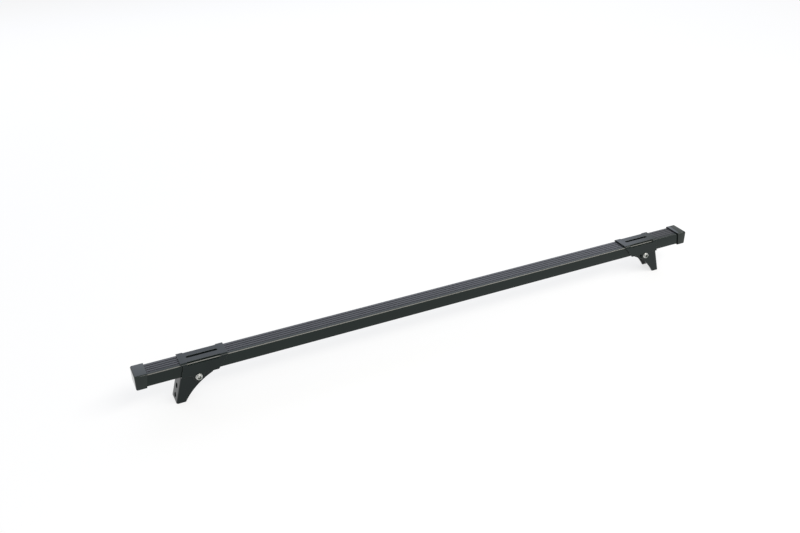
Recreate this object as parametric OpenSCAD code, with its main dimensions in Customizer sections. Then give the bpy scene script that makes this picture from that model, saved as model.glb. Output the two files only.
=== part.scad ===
/* [Bar] */
// Length of the steel tube and of the sleeve over it
bar_length = 1116; // [900:2:1400]
// Width of the sleeved bar
bar_width = 33; // [30:0.5:38]
// Height of the sleeved bar
bar_height = 23; // [20:0.5:28]
// Outer corner radius of the sleeve
bar_corner = 2; // [1.8:0.1:3]
// Thickness of the plastic sleeve
sleeve_wall = 1.5; // [1:0.1:1.7]
// Wall of the steel tube
tube_wall = 1.5; // [1:0.1:2.5]
// Number of grooves along the top of the sleeve
groove_count = 4; // [1:1:5]
// Distance from one groove to the next
groove_pitch = 5.3; // [3.6:0.1:6]
// Width of a groove
groove_width = 2.2; // [1.4:0.1:2.8]
// Depth of a groove
groove_depth = 0.7; // [0.2:0.05:0.9]

/* [End caps] */
// Depth of the socket that takes the end of the bar
cap_socket = 17; // [12:0.5:24]
// Thickness of the closed end
cap_end = 2; // [1.6:0.1:4]
// Wall of the socket round the bar
cap_wall = 2; // [1.6:0.1:3]
// Radius of the outer edges and corners
cap_corner = 2.4; // [1.8:0.1:3.6]

/* [Collar] */
// Distance from the rim of the end cap to the collar
collar_setback = 55.4; // [40:0.2:120]
// Length of the collar along its top
collar_length = 78.5; // [70:0.5:100]
// Amount by which the cheeks are shorter inboard at their lower edge
collar_nose = 17.8; // [8:0.1:22]
// Setback of the cheeks' outboard edge where it meets the top
collar_notch = 4; // [1:0.1:8]
// Thickness of the collar's steel
collar_steel = 2.5; // [2:0.1:3.5]
// Distance from the outboard end of the collar to the middle slot
slot_start = 12.8; // [8:0.1:18]
// Length of the middle slot
slot_length = 53; // [40:0.5:58]
// Width of the middle slot
slot_width = 5.5; // [2:0.1:7]
// Distance from the outboard end of the collar to the edge windows
window_start = 10.5; // [8:0.1:18]
// Length of the edge windows
window_length = 56; // [40:0.5:58]
// Reach of each edge window inwards across the top
window_across = 5.2; // [3.5:0.1:7]
// Reach of each edge window down the cheek
window_down = 4.8; // [3.5:0.1:7]
// Corner radius of the edge windows
window_corner = 1.5; // [0.5:0.1:3]
// Radius of the tab round the clamp screw
tab_radius = 9; // [7.5:0.1:11]
// Fillet between the tab and the lower edge of the cheek
tab_fillet = 3; // [1:0.1:4]

/* [Leg] */
// Height of the leg below the bar
leg_height = 49.5; // [44:0.5:70]
// Thickness of the leg's steel
leg_steel = 3; // [2:0.1:4]
// Lean of the leg's web, outwards going down, in degrees
leg_splay = 15.3; // [5:0.1:20]
// Offset of the web's upper edge outboard of the collar
leg_offset = 2; // [0.5:0.1:4]
// Outer radius of the bends between the web and the cheeks
leg_bend = 3.5; // [3.2:0.1:5]
// Gap between the bar and the upper edges of the leg's cheeks
leg_drop = 1.2; // [0.8:0.1:3]
// Length of the cheeks' lower edge
leg_toe = 15.5; // [10:0.1:20]
// Distance along the bar from the web's upper edge to the tip
leg_reach = 53; // [48:0.1:62]
// Height of the blunt tip
leg_tip = 2.5; // [1:0.1:4]
// Radius of the concave inner edge
leg_curve = 116; // [70:1:400]
// Width of the web's tongue that bears on the bar
tongue_width = 20; // [12:0.5:22]
// Half length of the ear that holds the clamp screw
ear_half = 8; // [6:0.1:9]
// Radius of the two fixing holes
hole_radius = 4.5; // [3:0.1:5.5]
// Distance from the lower end of the web to the lower hole
hole_rise = 8.5; // [8:0.1:14]
// Distance between the two fixing holes
hole_spacing = 18; // [14:0.1:22]

/* [Clamp screw] */
// Distance from the outboard end of the collar to the screw
screw_setback = 26.3; // [22:0.1:34]
// Distance of the screw's axis below the bar
screw_drop = 5; // [4.6:0.1:7]
// Radius of the screw's shank
screw_radius = 3; // [2.5:0.1:3.4]
// Length of the screw under its head
screw_length = 50; // [48:1:60]
// Radius of the head's flange
flange_radius = 5.8; // [5.4:0.1:7.4]
// Thickness of the head's flange
flange_height = 1.2; // [0.8:0.1:2]
// Radius of the head above its flange
head_radius = 4.9; // [4.4:0.1:5.3]
// Height of the whole head
head_height = 3.8; // [3:0.1:5]
// Width across the flats of the hexagon socket
socket_width = 5; // [3:0.1:5.4]
// Depth of the hexagon socket
socket_depth = 2.4; // [1.5:0.1:2.8]
// Outer radius of the washer
washer_radius = 6; // [5.5:0.1:7]
// Thickness of the washer
washer_height = 1.6; // [1:0.1:2]
// Width across the flats of the lock nut
nut_width = 10; // [9:0.1:12]
// Height of the lock nut's hexagon
nut_hex = 4.4; // [3:0.1:5]
// Height of the whole lock nut with its ring
nut_height = 6; // [5.2:0.1:7]

/* [Hidden] */
$fn = 64;

// Gap of a piece pressed or seated on another
seat_gap = 0.05;
// Gap between the bar and what slides along it
slide_gap = 0.3;
// Gap between the screw and what it passes through
screw_gap = 0.3;
// Depth of the outboard notch below the bar's top
notch_drop = 1;
// Surplus of a cutting shape past the face that it cuts
cut = 1;

black = [0.09, 0.095, 0.1];
zinc = [0.72, 0.73, 0.72];
steel = [0.45, 0.46, 0.48];

tube_width = bar_width - 2 * sleeve_wall - 2 * seat_gap;
tube_height = bar_height - 2 * sleeve_wall - 2 * seat_gap;
tube_corner = bar_corner - sleeve_wall;
exposed_length = bar_length - 2 * cap_socket;

cap_width = bar_width + 2 * (cap_wall + seat_gap);
cap_height = bar_height + 2 * (cap_wall + seat_gap);
cap_length = cap_socket + cap_end;

collar_inside = bar_width + 2 * slide_gap;
collar_half = collar_inside / 2 + collar_steel;
collar_top = bar_height + slide_gap + collar_steel;
collar_bend = bar_corner + slide_gap;
tab_depth = screw_drop + tab_radius;

leg_inside = bar_width - 2 * leg_steel;
leg_inner_bend = max(leg_bend - leg_steel, 0.3);
toe_x = -leg_offset - leg_height * tan(leg_splay);
tip_x = -leg_offset + leg_reach;
web_length = leg_height / cos(leg_splay);
lower_hole = web_length - hole_rise;
upper_hole = lower_hole - hole_spacing;

screw_hole = screw_radius + screw_gap;
nut_start = collar_half + washer_height;

foot_x = exposed_length / 2 - collar_setback;
middle_y = (screw_length - 2 * collar_half - head_height) / 2;

// Rectangle about the origin with round corners
module rounded_rectangle(width, height, radius) {
    square([width - 2 * radius, height], center = true);
    square([width, height - 2 * radius], center = true);
    for (x = [-1, 1], y = [-1, 1])
        translate([x * (width / 2 - radius), y * (height / 2 - radius)])
            circle(r = radius);
}

// Prism along the bar of a section drawn across it, with the section's Y upwards
module along_bar(length) {
    rotate([90, 0, 90])
        linear_extrude(height = length, center = true)
            children();
}

// Plate of an outline drawn as seen from the front, centred across the bar
module across_bar(width) {
    rotate([90, 0, 0])
        linear_extrude(height = width, center = true)
            children();
}

// The part's frame: the lowest edges at zero height and the box centred
module in_frame() {
    translate([0, -middle_y, leg_height])
        children();
}

// A foot's frame: the outboard end of the collar at zero, inboard positive
module at_foot(side) {
    in_frame()
        mirror([side > 0 ? 1 : 0, 0, 0])
            translate([-foot_x, 0, 0])
                children();
}

// Frame of the clamp screw: its axis along Z, from the front towards the back
module at_screw() {
    translate([screw_setback, 0, -screw_drop])
        rotate([-90, 0, 0])
            children();
}

// Frame of the web: X along its inward normal, Z up its outer face
module at_web() {
    translate([-leg_offset, 0, 0])
        rotate([0, leg_splay, 0])
            children();
}

module bar_tube() {
    color(steel)
        in_frame()
            translate([0, 0, bar_height / 2])
                along_bar(bar_length)
                    difference() {
                        rounded_rectangle(tube_width, tube_height, tube_corner);
                        square([tube_width - 2 * tube_wall, tube_height - 2 * tube_wall], center = true);
                    }
}

// Extruded sleeve with its grooves along the top
module bar_sleeve() {
    color(black)
        in_frame()
            translate([0, 0, bar_height / 2])
                along_bar(bar_length)
                    difference() {
                        rounded_rectangle(bar_width, bar_height, bar_corner);
                        rounded_rectangle(tube_width + 2 * seat_gap, tube_height + 2 * seat_gap, tube_corner);
                        for (i = [0 : groove_count - 1])
                            translate([(i - (groove_count - 1) / 2) * groove_pitch, bar_height / 2])
                                square([groove_width, 2 * groove_depth], center = true);
                    }
}

// Solid outside of a cap, from its rim at zero to its rounded end outboard
module cap_outside() {
    straight = cap_length - cap_corner;
    flat_width = cap_width - 2 * cap_corner;
    flat_height = cap_height - 2 * cap_corner;
    translate([-straight / 2, 0, 0])
        along_bar(straight)
            rounded_rectangle(cap_width, cap_height, cap_corner);
    translate([-cap_length / 2, 0, 0])
        cube([cap_length, flat_width, flat_height], center = true);
    for (z = [-1, 1])
        translate([-straight, 0, z * flat_height / 2])
            rotate([90, 0, 0])
                cylinder(r = cap_corner, h = flat_width, center = true);
    for (y = [-1, 1])
        translate([-straight, y * flat_width / 2, 0])
            cylinder(r = cap_corner, h = flat_height, center = true);
    for (y = [-1, 1], z = [-1, 1])
        translate([-straight, y * flat_width / 2, z * flat_height / 2])
            sphere(r = cap_corner);
}

module end_cap(side) {
    color(black)
        in_frame()
            mirror([side > 0 ? 1 : 0, 0, 0])
                translate([-exposed_length / 2, 0, bar_height / 2])
                    difference() {
                        cap_outside();
                        translate([(cut - cap_socket) / 2, 0, 0])
                            along_bar(cap_socket + cut)
                                rounded_rectangle(bar_width + 2 * seat_gap, bar_height + 2 * seat_gap, bar_corner);
                    }
}

module end_cap_left() {
    end_cap(-1);
}

module end_cap_right() {
    end_cap(1);
}

// Section of the collar: an upturned U whose cheeks reach down to the tabs
module collar_section() {
    difference() {
        union() {
            translate([0, collar_top / 2])
                rounded_rectangle(2 * collar_half, collar_top, collar_bend + collar_steel);
            translate([-collar_half, -tab_depth])
                square([2 * collar_half, tab_depth + collar_top / 2]);
        }
        translate([0, bar_height / 2])
            rounded_rectangle(collar_inside, bar_height + 2 * slide_gap, collar_bend);
        translate([-collar_inside / 2, -tab_depth - cut])
            square([collar_inside, tab_depth + cut + bar_height / 2]);
    }
}

// Outline of the cheeks: leaning outboard edge, slanted nose and the tab round the screw
module collar_outline() {
    polygon([
        [0, collar_top],
        [0, bar_height],
        [collar_notch, bar_height - notch_drop],
        [-leg_offset, -slide_gap],
        [collar_length - collar_nose, -slide_gap],
        [collar_length, bar_height],
        [collar_length, collar_top]
    ]);
    translate([screw_setback, -screw_drop])
        circle(r = tab_radius);
    translate([screw_setback - tab_radius, -screw_drop])
        square([2 * tab_radius, screw_drop]);
    for (side = [-1, 1])
        translate([screw_setback + side * (tab_radius + tab_fillet / 2), -slide_gap - tab_fillet / 2])
            difference() {
                square(tab_fillet, center = true);
                translate([side * tab_fillet / 2, -tab_fillet / 2])
                    circle(r = tab_fillet);
            }
}

// Slot along the middle of the collar's top, with round ends
module middle_slot() {
    radius = slot_width / 2;
    height = collar_steel + 2 * cut;
    translate([slot_start + radius, -radius, bar_height - cut])
        cube([slot_length - slot_width, slot_width, height]);
    for (x = [slot_start + radius, slot_start + slot_length - radius])
        translate([x, 0, bar_height - cut])
            cylinder(r = radius, h = height);
}

// Window that opens the bend between the top and a cheek
module edge_window(side) {
    translate([window_start + window_length / 2, side * collar_half, collar_top])
        intersection() {
            across_bar(2 * window_across)
                rounded_rectangle(window_length, 2 * window_down, window_corner);
            linear_extrude(height = 2 * window_down, center = true)
                rounded_rectangle(window_length, 2 * window_across, window_corner);
        }
}

module collar() {
    color(black)
        difference() {
            intersection() {
                translate([collar_length / 2, 0, 0])
                    along_bar(collar_length + 2 * leg_offset)
                        collar_section();
                across_bar(2 * collar_half + cut)
                    collar_outline();
            }
            middle_slot();
            for (side = [-1, 1])
                edge_window(side);
            at_screw()
                cylinder(r = screw_hole, h = 2 * collar_half + cut, center = true);
        }
}

module left_collar() {
    at_foot(-1) collar();
}

module right_collar() {
    at_foot(1) collar();
}

// Section of the leg: a channel with its web at zero and its cheeks inboard
module leg_section() {
    difference() {
        translate([leg_reach, 0])
            rounded_rectangle(2 * leg_reach, bar_width, leg_bend);
        translate([leg_steel + leg_reach, 0])
            rounded_rectangle(2 * leg_reach, leg_inside, leg_inner_bend);
    }
}

// Outline of the leg from the front: splayed web, flat toe and concave inner edge
module leg_outline() {
    heel = [toe_x + leg_toe, -leg_height];
    tip = [tip_x, -leg_drop - leg_tip];
    chord = tip - heel;
    half = norm(chord) / 2;
    outwards = [chord[1], -chord[0]] / norm(chord);
    centre = (heel + tip) / 2 + outwards * sqrt(leg_curve * leg_curve - half * half);
    difference() {
        polygon([
            [toe_x, -leg_height],
            heel,
            tip,
            [tip_x, -slide_gap],
            [-leg_offset - slide_gap * tan(leg_splay), -slide_gap]
        ]);
        translate(centre)
            circle(r = leg_curve, $fn = 256);
    }
}

// Space above one cheek on both sides of the ear, beside the web's tongue
module above_cheek(side) {
    reach = (bar_width - tongue_width) / 2 + cut;
    start_y = side > 0 ? tongue_width / 2 : -tongue_width / 2 - reach;
    for (x = [screw_setback - ear_half - leg_reach, screw_setback + ear_half])
        translate([x, start_y, -leg_drop])
            cube([leg_reach, reach, leg_drop]);
}

module leg() {
    color(black)
        difference() {
            intersection() {
                at_web()
                    translate([0, 0, -web_length - leg_reach])
                        linear_extrude(height = web_length + 2 * leg_reach)
                            leg_section();
                across_bar(bar_width + cut)
                    leg_outline();
            }
            for (side = [-1, 1])
                above_cheek(side);
            for (drop = [upper_hole, lower_hole])
                at_web()
                    translate([0, 0, -drop])
                        rotate([0, 90, 0])
                            cylinder(r = hole_radius, h = 4 * leg_steel, center = true);
            at_screw()
                cylinder(r = screw_hole, h = bar_width + cut, center = true);
        }
}

module left_leg() {
    at_foot(-1) leg();
}

module right_leg() {
    at_foot(1) leg();
}

// Flanged head with a rounded edge and a hexagon socket, and its plain shank
module clamp_screw() {
    crown = head_height - flange_height;
    color(zinc)
        at_screw()
            translate([0, 0, -collar_half]) {
                difference() {
                    rotate([180, 0, 0])
                        rotate_extrude() {
                            square([flange_radius, flange_height]);
                            square([head_radius - crown / 2, head_height]);
                            square([head_radius, head_height - crown / 2]);
                            translate([head_radius - crown / 2, head_height - crown / 2])
                                circle(r = crown / 2);
                        }
                    translate([0, 0, -head_height - cut])
                        cylinder(r = socket_width / sqrt(3), h = socket_depth + cut, $fn = 6);
                }
                cylinder(r = screw_radius, h = screw_length);
            }
}

module left_clamp_screw() {
    at_foot(-1) clamp_screw();
}

module right_clamp_screw() {
    at_foot(1) clamp_screw();
}

module washer() {
    color(zinc)
        at_screw()
            translate([0, 0, collar_half])
                difference() {
                    cylinder(r = washer_radius, h = washer_height);
                    translate([0, 0, -cut / 2])
                        cylinder(r = screw_hole, h = washer_height + cut);
                }
}

module left_washer() {
    at_foot(-1) washer();
}

module right_washer() {
    at_foot(1) washer();
}

// Hexagon with the round ring that locks the thread
module lock_nut() {
    color(zinc)
        at_screw()
            translate([0, 0, nut_start])
                difference() {
                    union() {
                        cylinder(r = nut_width / sqrt(3), h = nut_hex, $fn = 6);
                        cylinder(r = nut_width / 2 - seat_gap, h = nut_height);
                    }
                    translate([0, 0, -cut / 2])
                        cylinder(r = screw_radius + seat_gap, h = nut_height + cut);
                }
}

module left_lock_nut() {
    at_foot(-1) lock_nut();
}

module right_lock_nut() {
    at_foot(1) lock_nut();
}

bar_tube();
bar_sleeve();
end_cap_left();
end_cap_right();
left_collar();
left_leg();
left_clamp_screw();
left_washer();
left_lock_nut();
right_collar();
right_leg();
right_clamp_screw();
right_washer();
right_lock_nut();
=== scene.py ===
"""Looks of a ribbed roof load bar on two clamped feet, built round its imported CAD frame."""

import logging
import math
from dataclasses import dataclass, field
from enum import Enum

import bmesh
import bpy
import numpy as np
from mathutils import Matrix, Vector


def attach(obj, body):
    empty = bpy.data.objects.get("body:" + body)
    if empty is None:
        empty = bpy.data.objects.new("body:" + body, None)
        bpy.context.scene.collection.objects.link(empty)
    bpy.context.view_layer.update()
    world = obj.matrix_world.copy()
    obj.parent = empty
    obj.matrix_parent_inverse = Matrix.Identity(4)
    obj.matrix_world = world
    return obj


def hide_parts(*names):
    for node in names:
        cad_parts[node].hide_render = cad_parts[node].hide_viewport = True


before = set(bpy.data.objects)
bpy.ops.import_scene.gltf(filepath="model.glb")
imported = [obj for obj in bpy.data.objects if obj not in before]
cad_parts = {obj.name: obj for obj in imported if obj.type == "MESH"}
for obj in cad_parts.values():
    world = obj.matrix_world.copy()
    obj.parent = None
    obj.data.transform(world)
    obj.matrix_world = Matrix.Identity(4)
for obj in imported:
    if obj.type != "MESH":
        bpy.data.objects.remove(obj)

LOG = logging.getLogger("load_bar")
Socket = bpy.types.NodeSocket
Triple = tuple[float, float, float]

# A millimetre in the frame's metres, and the bar's place in the frame in millimetres.
MM = 0.001
MIDDLE_Y = -3.8
UNDERSIDE = 49.5

# The range that holds most of a noise texture's values.
NOISE_LOW = 0.3
NOISE_HIGH = 0.7

# Cleaning and easing a CAD node's copy: the distance in millimetres within which points are
# merged, the turn in degrees below which faces are joined, the turn from which an edge is
# sharp, and the bevel's steps.
MERGE_WITHIN = 0.002
FLAT_BELOW = 0.4
SHARP_FROM = 30.0
BEVEL_STEPS = 2

# Corners of a section, anticlockwise from the lower right: the signs of Y and Z there and the
# angle in degrees at which the corner's arc starts.
CORNERS = ((1.0, -1.0, -90.0), (1.0, 1.0, 0.0), (-1.0, 1.0, 90.0), (-1.0, -1.0, 180.0))


class Side(Enum):
    """End of the bar: the sign of X there."""

    LEFT = -1
    RIGHT = 1

    @property
    def label(self) -> str:
        """Word that the nodes of this end carry."""
        return self.name.lower()


class Slot(Enum):
    """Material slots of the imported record."""

    TUBE = "tube_steel"
    SLEEVE = "sleeve_plastic"
    CAP = "cap_plastic"
    COATED = "coated_steel"
    ZINC = "zinc_plated"


class Net:
    """A material's node tree, with short ways to add a pattern to it."""

    def __init__(self, name: str) -> None:
        """Start a material.

        Args:
            name: the material's name.
        """
        self.material = bpy.data.materials.new(name)
        self.material.use_nodes = True
        self.tree = self.material.node_tree
        self.tree.nodes.clear()
        self.shader = self.add("ShaderNodeBsdfPrincipled")
        output = self.add("ShaderNodeOutputMaterial")
        self.join(self.shader.outputs["BSDF"], output.inputs["Surface"])
        self.place = self.add("ShaderNodeTexCoord").outputs["Object"]

    def add(self, kind: str) -> bpy.types.Node:
        """Add a node of the type with this name."""
        return self.tree.nodes.new(kind)

    def join(self, source: Socket, target: Socket) -> None:
        """Link an output to an input."""
        self.tree.links.new(source, target)

    def stretched(self, scale: Triple) -> Socket:
        """Give object coordinates multiplied along each axis.

        Args:
            scale: the factor along X, Y and Z.

        Returns:
            The scaled coordinates.
        """
        mapping = self.add("ShaderNodeMapping")
        mapping.inputs["Scale"].default_value = scale
        self.join(self.place, mapping.inputs["Vector"])
        return mapping.outputs["Vector"]

    def noise(self, scale: float, detail: float, stretch: Triple = (1.0, 1.0, 1.0)) -> Socket:
        """Give a noise value between 0 and 1.

        Args:
            scale: cells per metre.
            detail: the number of finer octaves.
            stretch: extra factor along each axis.

        Returns:
            The noise value.
        """
        texture = self.add("ShaderNodeTexNoise")
        texture.inputs["Scale"].default_value = scale
        texture.inputs["Detail"].default_value = detail
        self.join(self.stretched(stretch), texture.inputs["Vector"])
        return texture.outputs["Fac"]

    def cells(self, scale: float) -> Socket:
        """Give the distance to the nearest of many scattered points.

        Args:
            scale: cells per metre.

        Returns:
            The distance value.
        """
        texture = self.add("ShaderNodeTexVoronoi")
        texture.inputs["Scale"].default_value = scale
        self.join(self.place, texture.inputs["Vector"])
        return texture.outputs["Distance"]

    def spread(self, value: Socket, low: float, high: float) -> Socket:
        """Carry a noise value's useful middle range to a new range.

        Args:
            value: the noise value.
            low: the result at the low end of the noise.
            high: the result at its high end.

        Returns:
            The new value, kept between the two ends.
        """
        node = self.add("ShaderNodeMapRange")
        ends = {"From Min": NOISE_LOW, "From Max": NOISE_HIGH, "To Min": low, "To Max": high}
        for name, number in ends.items():
            node.inputs[name].default_value = number
        self.join(value, node.inputs["Value"])
        return node.outputs["Result"]

    def colours(self, value: Socket, first: Triple, second: Triple) -> Socket:
        """Blend two colours by a noise value.

        Args:
            value: the noise value.
            first: the colour at the low end of the noise.
            second: the colour at its high end.

        Returns:
            The blended colour.
        """
        ramp = self.add("ShaderNodeValToRGB")
        stops = ((NOISE_LOW, first), (NOISE_HIGH, second))
        for element, (place, colour) in zip(ramp.color_ramp.elements, stops):
            element.position = place
            element.color = (*colour, 1.0)
        self.join(value, ramp.inputs["Fac"])
        return ramp.outputs["Color"]

    def relief(self, heights: list[tuple[Socket, float]], strength: float) -> None:
        """Put small heights on the surface through chained bump nodes.

        Args:
            heights: each height value with its depth in metres.
            strength: the share of the relief that shows.
        """
        normal = None
        for value, depth in heights:
            bump = self.add("ShaderNodeBump")
            bump.inputs["Strength"].default_value = strength
            bump.inputs["Distance"].default_value = depth
            self.join(value, bump.inputs["Height"])
            if normal is not None:
                self.join(normal, bump.inputs["Normal"])
            normal = bump.outputs["Normal"]
        self.join(normal, self.shader.inputs["Normal"])

    def set(self, **values: float) -> None:
        """Set the shader's own sockets, each by its name."""
        for name, value in values.items():
            self.shader.inputs[name].default_value = value


@dataclass(frozen=True)
class Finish:
    """What every finish shares: two shades and a range of roughness.

    In each kind of finish a pattern's scale is in cells per metre and its depth in metres, and
    "shown" is the share of the relief that shows.
    """

    name: str
    dark: Triple
    light: Triple
    rough: tuple[float, float]

    def material(self) -> bpy.types.Material:
        """Build the material, or give the one that is there already."""
        return bpy.data.materials.get(self.name) or self.build()

    def paint(self, net: Net, shade: Socket, gloss: Socket) -> None:
        """Blend the two shades by one noise value and spread the roughness by another.

        Args:
            net: the material's node tree.
            shade: the noise value of the shades.
            gloss: the noise value of the roughness.
        """
        net.join(net.colours(shade, self.dark, self.light), net.shader.inputs["Base Color"])
        net.join(net.spread(gloss, *self.rough), net.shader.inputs["Roughness"])

    def build(self) -> bpy.types.Material:
        """Build the material; each kind of finish has its own way."""
        raise NotImplementedError


@dataclass(frozen=True)
class ExtrudedPlastic(Finish):
    """Satin plastic drawn along X: long die lines, faint blotches and fine grain."""

    lines: float = 900.0
    line_stretch: Triple = (0.004, 1.0, 1.0)
    line_depth: float = 0.00003
    clouds: float = 14.0
    cloud_stretch: Triple = (0.4, 1.0, 1.0)
    grain: float = 2600.0
    grain_depth: float = 0.00001
    shown: float = 0.6
    refraction: float = 1.33

    def build(self) -> bpy.types.Material:
        """Build the material.

        Returns:
            The material, with streaks stretched along the bar.
        """
        net = Net(self.name)
        streak = net.noise(self.lines, detail=2.0, stretch=self.line_stretch)
        cloud = net.noise(self.clouds, detail=4.0, stretch=self.cloud_stretch)
        grain = net.noise(self.grain, detail=2.0)
        self.paint(net, cloud, streak)
        net.relief([(streak, self.line_depth), (grain, self.grain_depth)], self.shown)
        net.set(IOR=self.refraction)
        return net.material


@dataclass(frozen=True)
class MouldedPlastic(Finish):
    """Smooth moulded plastic: a fine spark-eroded skin with slightly uneven gloss."""

    clouds: float = 40.0
    skin: float = 3200.0
    skin_depth: float = 0.000005
    shown: float = 0.4
    refraction: float = 1.4

    def build(self) -> bpy.types.Material:
        """Build the material.

        Returns:
            The material, with a fine pitted skin.
        """
        net = Net(self.name)
        cloud = net.noise(self.clouds, detail=3.0)
        pits = net.cells(self.skin)
        self.paint(net, cloud, cloud)
        net.relief([(pits, self.skin_depth)], self.shown)
        net.set(IOR=self.refraction)
        return net.material


@dataclass(frozen=True)
class PowderCoat(Finish):
    """Baked powder coat: orange-peel waves, fine speckle and a glossy top."""

    clouds: float = 30.0
    peel: float = 480.0
    peel_depth: float = 0.00003
    speck: float = 4200.0
    speck_depth: float = 0.000004
    shown: float = 0.5
    refraction: float = 1.33

    def build(self) -> bpy.types.Material:
        """Build the material.

        Returns:
            The material, with two sizes of relief.
        """
        net = Net(self.name)
        cloud = net.noise(self.clouds, detail=4.0)
        peel = net.noise(self.peel, detail=1.0)
        speck = net.noise(self.speck, detail=1.0)
        self.paint(net, cloud, speck)
        net.relief([(peel, self.peel_depth), (speck, self.speck_depth)], self.shown)
        net.set(IOR=self.refraction)
        return net.material


@dataclass(frozen=True)
class ZincPlate(Finish):
    """Bright zinc on turned steel: fine turning marks and a faint blotch of passivation."""

    clouds: float = 220.0
    marks: float = 5200.0
    mark_stretch: Triple = (1.0, 0.15, 1.0)
    mark_depth: float = 0.000008
    shown: float = 0.5

    def build(self) -> bpy.types.Material:
        """Build the material.

        Returns:
            The metal, with uneven gloss.
        """
        net = Net(self.name)
        cloud = net.noise(self.clouds, detail=3.0)
        marks = net.noise(self.marks, detail=2.0, stretch=self.mark_stretch)
        self.paint(net, cloud, marks)
        net.relief([(marks, self.mark_depth)], self.shown)
        net.set(Metallic=1.0)
        return net.material


@dataclass(frozen=True)
class DrawnSteel(Finish):
    """Bare drawn tube: long draw lines along X and dull mill scale."""

    clouds: float = 60.0
    lines: float = 1500.0
    line_stretch: Triple = (0.006, 1.0, 1.0)
    line_depth: float = 0.00002
    shown: float = 0.5

    def build(self) -> bpy.types.Material:
        """Build the material.

        Returns:
            The metal, with draw lines along the tube.
        """
        net = Net(self.name)
        lines = net.noise(self.lines, detail=3.0, stretch=self.line_stretch)
        cloud = net.noise(self.clouds, detail=4.0)
        self.paint(net, cloud, lines)
        net.relief([(lines, self.line_depth)], self.shown)
        net.set(Metallic=1.0)
        return net.material


# The finish of each slot, and then colours painted for light and shade: painted shade on the
# caps' rims, painted highlights on the collars' edges and the sleeve's front corner, painted
# light on the sleeve's top and painted shade in the screws' sockets.
FINISHES: dict[Slot, Finish] = {
    Slot.TUBE: DrawnSteel(
        "drawn_steel", dark=(0.34, 0.35, 0.36), light=(0.48, 0.49, 0.5), rough=(0.32, 0.5)
    ),
    Slot.SLEEVE: ExtrudedPlastic(
        "ribbed_plastic",
        dark=(0.003, 0.0085, 0.0072),
        light=(0.0045, 0.0125, 0.0105),
        rough=(0.14, 0.22),
    ),
    Slot.CAP: MouldedPlastic(
        "moulded_plastic",
        dark=(0.005, 0.0115, 0.0095),
        light=(0.008, 0.016, 0.013),
        rough=(0.04, 0.08),
    ),
    Slot.COATED: PowderCoat(
        "powder_coat",
        dark=(0.003, 0.0082, 0.0078),
        light=(0.0045, 0.0118, 0.0112),
        rough=(0.12, 0.18),
    ),
    Slot.ZINC: ZincPlate(
        "zinc_plate", dark=(0.44, 0.45, 0.44), light=(0.66, 0.66, 0.63), rough=(0.2, 0.36)
    ),
}
# Painted shade: a near-black colour on the caps' lips, standing in for the shadow in the gap at
# the rim.
PAINTED_RIM_SHADE = MouldedPlastic(
    "painted_rim_shade", dark=(0.0006, 0.0008, 0.0007), light=(0.001, 0.0012, 0.001), rough=(0.6, 0.7)
)
# Painted highlight: a light colour on the collars' bevelled edges, standing in for light caught by
# the edges.
PAINTED_EDGE_HIGHLIGHT = PowderCoat(
    "painted_edge_highlight", dark=(0.13, 0.135, 0.125), light=(0.2, 0.205, 0.19), rough=(0.3, 0.42)
)
# Painted light: a lighter, bluer colour on the sleeve's top for the light that falls on it.
PAINTED_TOP_LIGHT = ExtrudedPlastic(
    "painted_top_light", dark=(0.034, 0.036, 0.042), light=(0.046, 0.049, 0.057), rough=(0.14, 0.22)
)
# Painted highlight: a light colour on the sleeve's front top corner, standing in for a lamp's
# reflection.
PAINTED_CORNER_HIGHLIGHT = ExtrudedPlastic(
    "painted_corner_highlight", dark=(0.17, 0.17, 0.157), light=(0.24, 0.24, 0.222), rough=(0.2, 0.3)
)
# Painted shade: a darker zinc in the screws' sockets, standing in for the shade in the recess.
PAINTED_SOCKET_SHADE = ZincPlate(
    "painted_socket_shade", dark=(0.17, 0.19, 0.17), light=(0.27, 0.29, 0.265), rough=(0.5, 0.62)
)


def into_scene(name: str, data: bpy.types.ID) -> bpy.types.Object:
    """Make an object and link it to the scene.

    Args:
        name: the object's name.
        data: its mesh, lamp or camera.

    Returns:
        The new object.
    """
    thing = bpy.data.objects.new(name, data)
    bpy.context.scene.collection.objects.link(thing)
    return thing


def dress(piece: bpy.types.Object, slot: Slot) -> None:
    """Give a piece the finish of one of the record's slots.

    Args:
        piece: the mesh object.
        slot: the slot whose finish it takes.
    """
    piece.data.materials.clear()
    piece.data.materials.append(FINISHES[slot].material())


def add_finish(piece: bpy.types.Object, finish: Finish) -> int:
    """Add a finish for some of a piece's faces.

    Args:
        piece: the mesh object.
        finish: the finish to add.

    Returns:
        The number by which a face takes it.
    """
    piece.data.materials.append(finish.material())
    return len(piece.data.materials) - 1


def number_faces(piece: bpy.types.Object, numbers: np.ndarray) -> None:
    """Give every face of a piece the number of its finish, in the order of the faces."""
    piece.data.polygons.foreach_set("material_index", numbers.ravel())


def settle(piece: bpy.types.Object, body: str, node: str, slot: Slot) -> bpy.types.Object:
    """Dress a new piece, put it on its body and let it stand for a CAD node.

    Args:
        piece: the new piece.
        body: the CAD body that carries it.
        node: the CAD node that it stands for.
        slot: the slot whose finish it takes.

    Returns:
        The same piece.
    """
    dress(piece, slot)
    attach(piece, body)
    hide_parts(node)
    LOG.info("%s stands for %s: %d faces", piece.name, node, len(piece.data.polygons))
    return piece


def keep(node: str, slot: Slot) -> None:
    """Dress a CAD node that stays as it is.

    Args:
        node: the node's name.
        slot: the slot whose finish it takes.
    """
    dress(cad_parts[node], slot)
    LOG.info("%s keeps its mesh", node)


def arc(start: float, end: float, steps: int) -> np.ndarray:
    """Give angles in radians from one angle in degrees to another, both ends in."""
    return np.radians(np.linspace(start, end, steps + 1))


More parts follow.
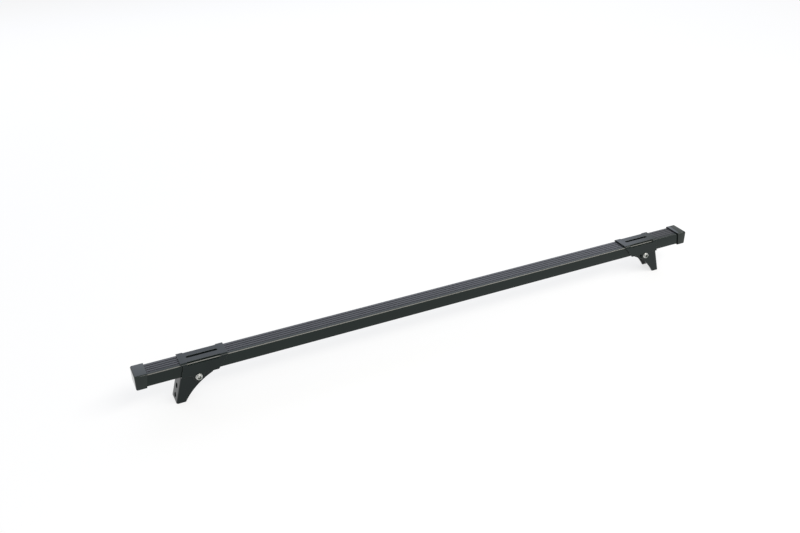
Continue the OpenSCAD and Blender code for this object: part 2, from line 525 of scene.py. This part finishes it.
def shell(
    name: str, rings: np.ndarray, ring_shaped: bool, smooth_below: float = 35.0
) -> bpy.types.Object:
    """Make a closed mesh from rings of points.

    Neighbouring rings are joined by quads. A ring-shaped shell joins its last ring to its
    first; any other is closed at each end by a fan round the mean of its end ring. The faces
    are turned round where the volume under them, the sum of each triangle's triple product
    over six, comes out negative.

    Args:
        name: the object's name.
        rings: points in millimetres, by ring, place on the ring, and axis.
        ring_shaped: whether the last ring meets the first.
        smooth_below: the angle in degrees from which an edge is sharp.

    Returns:
        The new object, in metres in the row's frame.
    """
    count, around, _ = rings.shape
    points = rings.reshape(-1, 3)
    here = np.arange(count if ring_shaped else count - 1)[:, None] * around
    ahead = (here + around) % (count * around)
    place = np.arange(around)
    beside = (place + 1) % around
    quads = np.stack([here + place, here + beside, ahead + beside, ahead + place], axis=-1)
    quads = quads.reshape(-1, 4)
    faces = quads.tolist()
    triangles = np.concatenate([quads[:, [0, 1, 2]], quads[:, [0, 2, 3]]])
    if not ring_shaped:
        first, last = len(points), len(points) + 1
        points = np.concatenate([points, rings[[0, -1]].mean(axis=1)])
        start = np.stack([np.full(around, first), beside, place], axis=-1)
        offset = (count - 1) * around
        end = np.stack([np.full(around, last), place + offset, beside + offset], axis=-1)
        faces += start.tolist() + end.tolist()
        triangles = np.concatenate([triangles, start, end])
    one, two, three = (points[triangles[:, corner]] for corner in range(3))
    volume = np.einsum("ij,ij->i", one, np.cross(two, three)).sum() / 6.0
    if volume < 0.0:
        faces = [face[::-1] for face in faces]
    mesh = bpy.data.meshes.new(name)
    mesh.from_pydata(np.zeros((len(points), 3)).tolist(), [], faces)
    mesh.vertices.foreach_set("co", (points * MM).astype(np.float32).ravel())
    mesh.update()
    mesh.shade_smooth()
    mesh.set_sharp_from_angle(angle=math.radians(smooth_below))
    return into_scene(name, mesh)


def eased_copy(node: str, name: str, width: float) -> bpy.types.Object:
    """Copy a CAD node with its cut edges eased by a small bevel.

    The copy's loose triangles are merged into a closed surface and its flat faces joined
    before the bevel rounds each sharp edge.

    Args:
        node: the CAD node's name.
        name: the copy's name.
        width: the bevel's width in millimetres.

    Returns:
        The copy, with its bevel as a live modifier.
    """
    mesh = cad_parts[node].data.copy()
    mesh.name = name
    work = bmesh.new()
    work.from_mesh(mesh)
    bmesh.ops.remove_doubles(work, verts=work.verts, dist=MERGE_WITHIN * MM)
    bmesh.ops.dissolve_limit(
        work,
        angle_limit=math.radians(FLAT_BELOW),
        use_dissolve_boundaries=False,
        verts=work.verts,
        edges=work.edges,
    )
    work.to_mesh(mesh)
    work.free()
    mesh.shade_smooth()
    mesh.set_sharp_from_angle(angle=math.radians(SHARP_FROM))
    piece = into_scene(name, mesh)
    bevel = piece.modifiers.new("eased_edges", "BEVEL")
    bevel.width = width * MM
    bevel.segments = BEVEL_STEPS
    bevel.limit_method = "ANGLE"
    bevel.angle_limit = math.radians(SHARP_FROM)
    bevel.harden_normals = True
    return piece


@dataclass
class LoadBar:
    """The steel tube, its ribbed sleeve and the two end caps, in millimetres and degrees.

    The painted highlight on the sleeve's front corner, a light colour for a lamp's reflection,
    runs from the left end to the last station before its given end and one step on. The cap's
    flat end has its first ring at end_ring inside its edge, so that it is shaded flat.
    """

    length: float = 1116.0
    width: float = 33.0
    height: float = 23.0
    corner: float = 2.0
    corner_steps: int = 8
    wall: float = 1.5
    stations: int = 31
    groove_count: int = 4
    groove_pitch: float = 5.8
    groove_width: float = 2.6
    groove_depth: float = 0.8
    groove_flank: float = 0.3
    flank_points: int = 7
    groove_sharp: float = 25.0
    # Where the painted corner highlight stops along the bar.
    highlight_to: float = 470.0
    cap_socket: float = 17.0
    cap_gap: float = 0.05
    cap_lean: float = 8.5
    cap_end: float = 2.0
    cap_wall: float = 2.05
    cap_corner: float = 2.8
    end_ring: float = 0.5
    end_steps: int = 10
    lip: float = 0.5
    lip_steps: int = 8
    body: str = "bar"

    def tube(self) -> None:
        """Dress the steel tube inside the sleeve."""
        keep("bar_tube", Slot.TUBE)

    def top_line(self) -> np.ndarray:
        """Give the top of the sleeve's section from right to left.

        The height is the sleeve's top less the groove's depth times a smooth step of how far
        inside a groove the point lies, measured over the groove's slanted flank.

        Returns:
            Points (y, z) about the section's middle.
        """
        centres = (np.arange(self.groove_count) - (self.groove_count - 1) / 2) * self.groove_pitch
        flank = np.linspace(-0.5, 0.5, self.flank_points) * self.groove_flank
        offsets = np.concatenate([flank - self.groove_width / 2, flank + self.groove_width / 2])
        y = np.sort((centres[:, None] + offsets[None, :]).ravel())[::-1]
        inside = self.groove_width / 2 - np.abs(y[:, None] - centres[None, :]).min(axis=1)
        share = np.clip(inside / self.groove_flank + 0.5, 0.0, 1.0)
        z = self.height / 2 - self.groove_depth * share * share * (3.0 - 2.0 * share)
        return np.stack([y, z], axis=-1)

    def rounded(
        self, half_y: float | np.ndarray, half_z: float | np.ndarray, radius: float | np.ndarray
    ) -> tuple[np.ndarray, np.ndarray]:
        """Give a rectangle with round corners, or one for each row of the sizes.

        At each corner the point is the arc's middle, at half_y and half_z with the corner's
        signs, plus the radius times the cosine and the sine of the arc's angle.

        Args:
            half_y: the distance of the arcs' middles from the section's middle along Y.
            half_z: the same along Z.
            radius: the corners' radius.

        Returns:
            Y and Z about the section's middle, anticlockwise from the lower right corner.
        """
        starts = [start for _, _, start in CORNERS]
        angle = np.concatenate([arc(start, start + 90.0, self.corner_steps) for start in starts])
        sign_y, sign_z, _ = np.repeat(CORNERS, self.corner_steps + 1, axis=0).T
        return sign_y * half_y + radius * np.cos(angle), sign_z * half_z + radius * np.sin(angle)

    def section(self, inset: float, radius: float, top: np.ndarray) -> np.ndarray:
        """Give a loop round the bar: four corner arcs, with the top line after the second.

        Args:
            inset: distance inwards from the bar's sides.
            radius: the corners' radius.
            top: points (y, z) across the top.

        Returns:
            Points (y, z), anticlockwise from the lower right corner.
        """
        half_y, half_z = self.width / 2 - inset - radius, self.height / 2 - inset - radius
        loop = np.stack(self.rounded(half_y, half_z, radius), axis=-1)
        right, left = np.split(loop, 2)
        return np.concatenate([right, top, left])

    def placed(self, loop: np.ndarray, x: np.ndarray) -> np.ndarray:
        """Carry a section loop to each place along the bar.

        Args:
            loop: points (y, z) about the section's middle.
            x: the places along the bar.

        Returns:
            Rings of points in the row's frame.
        """
        loops = np.broadcast_to(loop, (len(x), *loop.shape))
        along = np.broadcast_to(x[:, None], loops.shape[:2])
        return np.stack(
            [along, loops[..., 0] + MIDDLE_Y, loops[..., 1] + UNDERSIDE + self.height / 2], axis=-1
        )

    def sleeve(self) -> None:
        """Carry the grooved section along the bar and back inside, as one ring-shaped shell.

        The middle half of the front top corner's arc takes a painted highlight, and the top from
        the back corner to the last groove is painted lighter for the light that falls on it.
        """
        top = self.top_line()
        outer = self.section(0.0, self.corner, top)
        flat = np.stack([top[:, 0], np.full(len(top), self.height / 2 - self.wall)], axis=-1)
        inner = self.section(self.wall, self.corner - self.wall, flat)
        x = np.linspace(-self.length / 2, self.length / 2, self.stations)
        rings = np.concatenate([self.placed(outer, x), self.placed(inner, x[::-1])])
        piece = shell("ribbed_sleeve", rings, ring_shaped=True, smooth_below=self.groove_sharp)
        settle(piece, self.body, "bar_sleeve", Slot.SLEEVE)
        top_start = 2 * (self.corner_steps + 1)
        top_end = top_start + len(top)
        quarter = self.corner_steps // 4
        arc_middle = slice(top_end + quarter, top_end + self.corner_steps - quarter)
        numbers = np.zeros((len(rings), len(outer)), dtype=np.int32)
        # Painted highlight on the middle of the front top corner's arc, up to its given end.
        numbers[: int((x < self.highlight_to).sum()), arc_middle] = add_finish(piece, PAINTED_CORNER_HIGHLIGHT)
        # Painted light: the top is coloured lighter for the light falling on it from above and
        # behind.
        numbers[: len(x) - 1, top_start - 1 : top_end - 1] = add_finish(piece, PAINTED_TOP_LIGHT)
        number_faces(piece, numbers)

    def end_cap(self, side: Side) -> None:
        """Carry a round-cornered section from the closed end, over the lip and into the socket.

        The end's edge is a quarter circle: as the angle goes from 90 degrees to 0 the section
        is inset by the radius times one less the cosine and moves by the radius times the sine.
        Towards the rim the section leans: it moves inboard by its height above the middle times
        the lean's tangent, a share that falls to nothing at the end of the bar.

        Args:
            side: the end of the bar.
        """
        rim = self.length / 2 - self.cap_socket
        full = self.cap_socket + self.cap_end
        bend = arc(90.0, 0.0, self.end_steps)
        lip = arc(0.0, 180.0, self.lip_steps)
        crest = self.lip_steps // 2
        half_lip = self.lip / 2
        inside = self.cap_wall - self.cap_gap
        inset = np.concatenate(
            [
                [self.cap_corner + self.end_ring],
                self.cap_corner * (1.0 - np.cos(bend)),
                half_lip * (1.0 - np.cos(lip[: crest + 1])),
                inside - half_lip * (1.0 + np.cos(lip[crest:])),
                [inside],
            ]
        )
        out = np.concatenate(
            [
                [full],
                full - self.cap_corner + self.cap_corner * np.sin(bend),
                half_lip * (1.0 - np.sin(lip[: crest + 1])),
                half_lip * (1.0 - np.sin(lip[crest:])),
                [self.cap_socket],
            ]
        )
        half_y = self.width / 2 + self.cap_wall
        half_z = self.height / 2 + self.cap_wall
        radius = np.maximum(self.cap_corner - inset, 0.0)[:, None]
        y, z = self.rounded(
            (half_y - inset)[:, None] - radius, (half_z - inset)[:, None] - radius, radius
        )
        near_rim = np.clip(1.0 - out / self.cap_socket, 0.0, 1.0)[:, None]
        lean = z * math.tan(math.radians(self.cap_lean)) * near_rim
        x = side.value * (rim + out[:, None] - lean)
        rings = np.stack([x, y + MIDDLE_Y, z + UNDERSIDE + self.height / 2], axis=-1)
        piece = shell(f"{side.label}_end_cap", rings, ring_shaped=False)
        settle(piece, self.body, f"end_cap_{side.label}", Slot.CAP)
        around = rings.shape[1]
        lip_start, lip_end = (1 + len(bend)) * around, (len(rings) - 2) * around
        numbers = np.zeros(len(piece.data.polygons), dtype=np.int32)
        # Painted shade on the lip faces round the rim.
        numbers[lip_start:lip_end] = add_finish(piece, PAINTED_RIM_SHADE)
        number_faces(piece, numbers)

    def build(self) -> None:
        """Build and dress the whole bar."""
        self.tube()
        self.sleeve()
        for side in Side:
            self.end_cap(side)


@dataclass
class ClampFoot:
    """One foot: collar, leg and the cross screw with its washer and nut, in millimetres.

    The sizes of round pieces are radii, apart from the socket's and the nut's, which are
    measured across their flats. The thread stops at thread_stop from the screw's tip, just short
    of the chamfer there.
    """

    side: Side
    collar_place: float = 485.6
    collar_ease: float = 0.5
    leg_ease: float = 0.3
    screw_setback: float = 26.3
    screw_drop: float = 5.0
    grip: float = 19.3
    shank: float = 3.0
    length: float = 50.0
    tip_chamfer: float = 0.5
    flange: float = 5.8
    flange_height: float = 1.2
    head: float = 4.9
    head_height: float = 3.8
    socket: float = 5.0
    socket_depth: float = 2.4
    socket_chamfer: float = 0.35
    washer: float = 6.0
    washer_bore: float = 3.3
    washer_height: float = 1.6
    washer_edge: float = 0.25
    washer_gap: float = 0.01
    nut: float = 10.0
    nut_hex: float = 4.4
    nut_height: float = 6.0
    nut_bore: float = 3.05
    nut_mouth: float = 3.35
    nut_mouth_depth: float = 0.3
    nut_cone: float = 0.45
    nut_cone_slope: float = 1.73
    nut_cone_start: float = 0.05
    crown_setback: float = 0.4
    crown_edge: float = 1.2
    pitch: float = 1.0
    pitch_steps: int = 10
    thread_depth: float = 0.5
    thread_length: float = 26.0
    thread_stop: float = 0.55
    edge_steps: int = 8
    washer_steps: int = 4
    cone_levels: int = 4
    crown_steps: int = 6
    around: int = 48
    label: str = field(init=False)
    body: str = field(init=False)

    def __post_init__(self) -> None:
        """Name this foot's side and the CAD body that carries it."""
        self.label = self.side.label
        self.body = f"foot_{self.label}"

    def collar(self) -> None:
        """Ease the edges of the folded collar and paint a highlight on their bevels."""
        node = f"{self.label}_collar"
        piece = eased_copy(node, f"{self.label}_folded_collar", self.collar_ease)
        settle(piece, self.body, node, Slot.COATED)
        # The bevel takes the painted edge highlight.
        piece.modifiers["eased_edges"].material = add_finish(piece, PAINTED_EDGE_HIGHLIGHT)

    def leg(self) -> None:
        """Ease the edges of the pressed leg."""
        node = f"{self.label}_leg"
        piece = eased_copy(node, f"{self.label}_pressed_leg", self.leg_ease)
        settle(piece, self.body, node, Slot.COATED)

    def angles(self) -> np.ndarray:
        """Give the angles round the screw."""
        return np.arange(self.around) * 2.0 * math.pi / self.around

    def hexagon(self) -> np.ndarray:
        """Give a hexagon's radius round the screw for a unit distance to its flats.

        It is one over the cosine of the angle from the middle of the nearest flat.

        Returns:
            The radius at each angle.
        """
        flat = math.pi / 3
        return 1.0 / np.cos((self.angles() + flat / 2) % flat - flat / 2)

    def full_turns(self, radius: np.ndarray) -> np.ndarray:
        """Give the same radius at every angle of each ring."""
        return np.repeat(radius[:, None], self.around, axis=1)

    def turned(
        self, name: str, node: str, radius: np.ndarray, y: np.ndarray, ring_shaped: bool
    ) -> bpy.types.Object:
        """Turn radii round the screw's axis into a zinc-plated piece of this foot.

        Args:
            name: the piece's name after its side.
            node: the name of its CAD node after its side.
            radius: radii by ring and angle.
            y: the place of each ring along the screw, from the bar's middle.
            ring_shaped: whether the last ring meets the first.

        Returns:
            The dressed piece.
        """
        angle = self.angles()
        centre_x = self.side.value * (self.collar_place - self.screw_setback)
        centre_z = UNDERSIDE - self.screw_drop
        along = np.broadcast_to(y[:, None], radius.shape) + MIDDLE_Y
        rings = np.stack(
            [centre_x + radius * np.cos(angle), along, centre_z + radius * np.sin(angle)], axis=-1
        )
        piece = shell(f"{self.label}_{name}", rings, ring_shaped)
        return settle(piece, self.body, f"{self.label}_{node}", Slot.ZINC)

    def screw(self) -> None:
        """Turn the screw from its socket over the head and along the thread to its tip.

        The radius is a circle's, or a hexagon's inside the socket. On the thread it is less by
        the thread's depth times a triangle wave of the place along the screw in pitches less
        the share of a turn, fading in over a pitch.
        """
        face = -self.grip
        top = face - self.head_height
        floor = top + self.socket_depth
        crown = (self.head_height - self.flange_height) / 2
        edge = self.flange_height / 2
        round_top = arc(0.0, 90.0, self.edge_steps)
        round_flange = arc(0.0, 180.0, self.edge_steps)
        socket = self.socket / 2
        socket_radius = [socket / 2, socket, socket, socket + self.socket_chamfer]
        head_radius = np.concatenate(
            [
                socket_radius,
                self.head - crown + crown * np.sin(round_top),
                [self.head],
                self.flange - edge + edge * np.sin(round_flange),
            ]
        )
        head_y = np.concatenate(
            [
                [floor, floor, top + self.socket_chamfer, top],
                top + crown * (1.0 - np.cos(round_top)),
                [face - self.flange_height],
                face - edge - edge * np.cos(round_flange),
            ]
        )
        hexagonal = np.arange(len(head_radius))[:, None] < len(socket_radius) - 1
        head = head_radius[:, None] * np.where(hexagonal, self.hexagon(), 1.0)
        tip = face + self.length
        start = tip - self.thread_length
        thread = np.arange(start, tip - self.thread_stop, self.pitch / self.pitch_steps)
        shank_y = np.concatenate([[face, start - self.pitch], thread])
        phase = shank_y[:, None] / self.pitch - self.angles() / (2.0 * math.pi)
        wave = np.abs((phase % 1.0) * 2.0 - 1.0)
        fade = np.clip((shank_y - start) / self.pitch, 0.0, 1.0)[:, None]
        shank = self.shank - self.thread_depth * wave * fade
        core = self.shank - self.thread_depth
        end = self.full_turns(np.array([core, core - self.tip_chamfer]))
        piece = self.turned(
            "cross_screw",
            "clamp_screw",
            np.concatenate([head, shank, end]),
            np.concatenate([head_y, shank_y, [tip - self.tip_chamfer, tip]]),
            ring_shaped=False,
        )
        numbers = np.zeros(len(piece.data.polygons), dtype=np.int32)
        # Painted shade on the socket's floor, walls and rim.
        numbers[: len(socket_radius) * self.around] = add_finish(piece, PAINTED_SOCKET_SHADE)
        number_faces(piece, numbers)

    def washer_ring(self) -> None:
        """Turn a flat ring whose outer and inner edges are rounded by quarter circles."""
        edge = self.washer_edge
        low, high = self.grip + self.washer_gap, self.grip + self.washer_height
        inner, outer = self.washer_bore, self.washer
        quarter = arc(0.0, 90.0, self.washer_steps)
        rising, falling = edge * np.sin(quarter), edge * np.cos(quarter)
        radius = np.concatenate(
            [
                outer - edge + rising,
                outer - edge + falling,
                inner + edge - rising,
                inner + edge - falling,
            ]
        )
        y = np.concatenate(
            [
                low + edge - falling,
                high - edge + rising,
                high - edge + falling,
                low + edge - rising,
            ]
        )
        self.turned("flat_washer", "washer", self.full_turns(radius), y, ring_shaped=True)

    def nut_ring(self) -> None:
        """Turn the lock nut: a hexagon cut by a cone at each end, then the round crown.

        On the hexagon the radius is the lesser of the hexagon's and a cone's, which starts
        just under the flats' distance on the end face and grows inwards by its slope.
        """
        flats = self.nut / 2
        steps = np.linspace(0.0, self.nut_cone, self.cone_levels)
        levels = np.concatenate(
            [steps, np.linspace(self.nut_hex - self.nut_cone, self.nut_hex, len(steps))]
        )
        depth = np.minimum(levels, self.nut_hex - levels)[:, None]
        cone = flats - self.nut_cone_start + self.nut_cone_slope * depth
        hexagon = np.minimum(flats * self.hexagon(), cone)
        crown = flats - self.crown_setback
        edge = self.crown_edge
        bend = arc(0.0, 90.0, self.crown_steps)
        round_radius = np.concatenate(
            [
                [crown],
                crown - edge + edge * np.cos(bend),
                [self.nut_mouth, self.nut_bore, self.nut_bore],
            ]
        )
        y = np.concatenate(
            [
                levels,
                [self.nut_hex],
                self.nut_height - edge + edge * np.sin(bend),
                [self.nut_height, self.nut_height - self.nut_mouth_depth, 0.0],
            ]
        )
        radius = np.concatenate([hexagon, self.full_turns(round_radius)])
        seat = self.grip + self.washer_height
        self.turned("nylon_nut", "lock_nut", radius, y + seat, ring_shaped=True)

    def build(self) -> None:
        """Build and dress the whole foot."""
        self.collar()
        self.leg()
        self.screw()
        self.washer_ring()
        self.nut_ring()


@dataclass(frozen=True)
class Lamp:
    """A soft rectangular lamp, in metres."""

    name: str
    place: Triple
    aim: Triple
    size: tuple[float, float]
    watts: float
    colour: Triple

    def light(self) -> None:
        """Hang the lamp and turn it to its aim."""
        data = bpy.data.lights.new(self.name, "AREA")
        data.shape = "RECTANGLE"
        data.size, data.size_y = self.size
        data.energy = self.watts
        data.color = self.colour
        lamp = into_scene(self.name, data)
        lamp.location = self.place
        ahead = Vector(self.aim) - Vector(self.place)
        lamp.rotation_euler = ahead.to_track_quat("-Z", "Y").to_euler()


def seen_directly(tree: bpy.types.NodeTree) -> Socket:
    """Give 1 to the camera's and to reflected rays and 0 to all others.

    Args:
        tree: the node tree of the floor's material or of the world.

    Returns:
        The value.
    """
    path = tree.nodes.new("ShaderNodeLightPath")
    seen = tree.nodes.new("ShaderNodeMath")
    seen.operation = "MAXIMUM"
    tree.links.new(path.outputs["Is Camera Ray"], seen.inputs[0])
    tree.links.new(path.outputs["Is Glossy Ray"], seen.inputs[1])
    return seen.outputs[0]


@dataclass
class Studio:
    """Camera, lamps, world and floor, in metres and degrees.

    The focal length is given in pixels of the photograph's width and turned into that of a
    camera with the sensor's width in millimetres.
    """

    place: Triple = (-0.6786, -1.2446, 0.9236)
    pitch: float = 29.45
    yaw: float = 25.65
    roll: float = -0.54
    focal_pixels: float = 899.0
    photo_pixels: float = 800.0
    sensor: float = 36.0
    near: float = 0.05
    far: float = 60.0
    room_tint: Triple = (0.97, 0.985, 1.0)
    room_light: float = 0.55
    room_seen: float = 1.0
    floor_reach: float = 9.0
    paper_grey: float = 0.8
    shadow_grey: float = 0.32
    paper_glow: float = 0.72
    lamps: tuple[Lamp, ...] = (
        Lamp("key_lamp", (0.92, -1.25, 1.9), (0.3, 0.0, 0.0), (2.8, 0.4), 34.0, (1.0, 0.97, 0.9)),
        Lamp("back_lamp", (0.25, 2.4, 1.5), (0.0, 0.0, 0.0), (4.4, 1.5), 24.0, (0.74, 0.79, 1.0)),
    )

    def camera(self) -> None:
        """Stand the camera where the perspective of the photograph puts it."""
        pitch, yaw, roll = (math.radians(angle) for angle in (self.pitch, self.yaw, self.roll))
        level = Vector((math.cos(yaw), -math.sin(yaw), 0.0))
        ahead = Vector(
            (math.sin(yaw) * math.cos(pitch), math.cos(yaw) * math.cos(pitch), -math.sin(pitch))
        )
        above = level.cross(ahead)
        right = math.cos(roll) * level + math.sin(roll) * above
        up = math.cos(roll) * above - math.sin(roll) * level
        data = bpy.data.cameras.new("photo_camera")
        data.sensor_fit = "HORIZONTAL"
        data.sensor_width = self.sensor
        data.lens = self.focal_pixels / self.photo_pixels * self.sensor
        data.clip_start, data.clip_end = self.near, self.far
        camera = into_scene("photo_camera", data)
        turn = Matrix((right, up, -ahead)).transposed().to_4x4()
        camera.matrix_world = Matrix.Translation(Vector(self.place)) @ turn
        bpy.context.scene.camera = camera

    def world(self) -> None:
        """Make the world white to the camera and in reflections, and a softer light elsewhere."""
        world = bpy.data.worlds.new("white_room")
        world.use_nodes = True
        tree = world.node_tree
        strength = tree.nodes.new("ShaderNodeMapRange")
        strength.inputs["To Min"].default_value = self.room_light
        strength.inputs["To Max"].default_value = self.room_seen
        tree.links.new(seen_directly(tree), strength.inputs["Value"])
        background = tree.nodes["Background"]
        background.inputs["Color"].default_value = (*self.room_tint, 1.0)
        tree.links.new(strength.outputs["Result"], background.inputs["Strength"])
        bpy.context.scene.world = world

    def paper(self) -> bpy.types.Material:
        """Build the floor's material.

        Seen directly or in a reflection it is a steady glow plus a darker paper that takes the
        shadow; to other rays it is plain pale paper.

        Returns:
            The material.
        """
        material = bpy.data.materials.new("pale_paper")
        material.use_nodes = True
        tree = material.node_tree
        tree.nodes.clear()
        plain = tree.nodes.new("ShaderNodeBsdfDiffuse")
        plain.inputs["Color"].default_value = (*[self.paper_grey] * 3, 1.0)
        shadowed = tree.nodes.new("ShaderNodeBsdfDiffuse")
        shadowed.inputs["Color"].default_value = (*[self.shadow_grey] * 3, 1.0)
        glow = tree.nodes.new("ShaderNodeEmission")
        glow.inputs["Strength"].default_value = self.paper_glow
        both = tree.nodes.new("ShaderNodeAddShader")
        tree.links.new(shadowed.outputs[0], both.inputs[0])
        tree.links.new(glow.outputs[0], both.inputs[1])
        choice = tree.nodes.new("ShaderNodeMixShader")
        tree.links.new(seen_directly(tree), choice.inputs["Fac"])
        tree.links.new(plain.outputs[0], choice.inputs[1])
        tree.links.new(both.outputs[0], choice.inputs[2])
        output = tree.nodes.new("ShaderNodeOutputMaterial")
        tree.links.new(choice.outputs[0], output.inputs["Surface"])
        return material

    def floor(self) -> None:
        """Lay a pale floor that keeps a faint shadow."""
        mesh = bpy.data.meshes.new("pale_floor")
        corners = np.array([[-1, -1, 0], [1, -1, 0], [1, 1, 0], [-1, 1, 0]]) * self.floor_reach
        mesh.from_pydata(corners.tolist(), [], [[0, 1, 2, 3]])
        mesh.materials.append(self.paper())
        floor = into_scene("pale_floor", mesh)

    def build(self) -> None:
        """Set up the whole studio."""
        self.camera()
        self.world()
        self.floor()
        for lamp in self.lamps:
            lamp.light()
        bpy.context.scene.view_settings.view_transform = "Standard"


def main() -> None:
    """Build the studio, the bar and both feet."""
    logging.basicConfig(level=logging.INFO, format="%(name)s: %(message)s")
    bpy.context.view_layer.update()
    Studio().build()
    LoadBar().build()
    for side in Side:
        ClampFoot(side).build()
    LOG.info("all pieces built")


if __name__ == "__main__":
    main()
